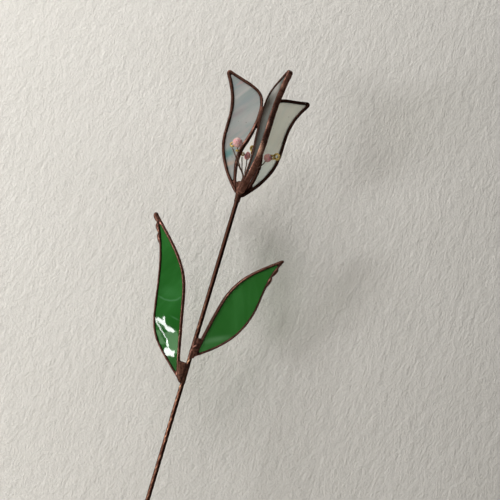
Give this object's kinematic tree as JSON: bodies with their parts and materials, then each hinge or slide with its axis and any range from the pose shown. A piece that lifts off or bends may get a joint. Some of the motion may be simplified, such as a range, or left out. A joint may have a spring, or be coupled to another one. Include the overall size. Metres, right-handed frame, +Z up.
{
  "type": "stained glass tulip",
  "caption": "Stained glass tulip on a straight copper-coloured rod, with pale streaky petals, green glass leaves and wire stamens.",
  "frame": {"origin": "centre of the cut lower end of the stem", "axes": "+Z up the stem to the flower, +X towards the shorter leaf's side, -Y towards the petal that faces the picture's camera"},
  "size_m": [0.1071, 0.0508, 0.3959],
  "materials": {
    "petal_glass": "glossy, pale and streaky",
    "leaf_glass": "glossy, nearly opaque",
    "copper_patina": "satin solder with a dark copper patina",
    "coppered_rod": "satin, mottled by a twisted relief",
    "stamen_wire": "satin brown wire",
    "pink_stone": "tumbled, silky",
    "gold_wire": "satin gold-coloured wire"
  },
  "bodies": {
    "root": {"stem_rod": "coppered_rod", "leaf_glass_left": "leaf_glass", "leaf_edge_left": "copper_patina", "leaf_joint_left": "copper_patina", "leaf_glass_right": "leaf_glass", "leaf_edge_right": "copper_patina", "leaf_joint_right": "copper_patina", "flower_base": "copper_patina", "petal_glass_front": "petal_glass", "petal_edge_front": "copper_patina", "petal_glass_left": "petal_glass", "petal_edge_left": "copper_patina", "petal_glass_right": "petal_glass", "petal_edge_right": "copper_patina", "petal_seam": "copper_patina", "stamen_wire_1": "stamen_wire", "stamen_wire_2": "stamen_wire", "stamen_wire_3": "stamen_wire", "stamen_wire_4": "stamen_wire", "stamen_wire_5": "stamen_wire", "stamen_wire_6": "stamen_wire", "stamen_stone_left": "pink_stone", "stamen_stone_middle": "pink_stone", "stamen_stone_right": "pink_stone", "stamen_ring_1": "gold_wire", "stamen_ring_2": "gold_wire", "stamen_ring_3": "gold_wire", "stamen_ring_4": "gold_wire", "stamen_ring_5": "gold_wire"}
  },
  "joints": []
}
